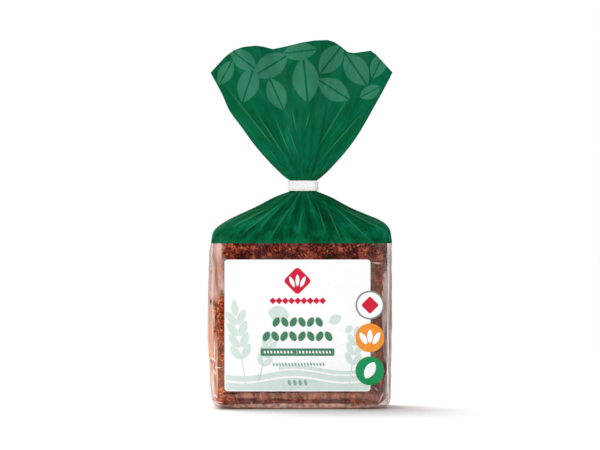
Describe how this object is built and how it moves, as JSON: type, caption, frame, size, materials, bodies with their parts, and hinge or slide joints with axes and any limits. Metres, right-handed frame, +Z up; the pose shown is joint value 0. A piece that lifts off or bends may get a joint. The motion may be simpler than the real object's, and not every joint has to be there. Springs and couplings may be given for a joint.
{
  "type": "rye bread",
  "caption": "Sliced dark rye bread in a clear film bag with a printed green top, gathered above the bread and held by a flat white clip band.",
  "frame": {"origin": "middle of the flat foot that the bag stands on", "axes": "+Z up through the gathered neck, -Y out of the front with the label, +X to the right as seen from the front"},
  "size_m": [0.1132, 0.0622, 0.2268],
  "materials": {
    "printed_film": "satin",
    "clip_plastic": "satin",
    "clear_film": "gloss",
    "rye_bread": "matte",
    "label_print": "satin"
  },
  "bodies": {
    "root": {"bread_bag": "printed_film", "neck_clip": "clip_plastic"}
  },
  "joints": []
}
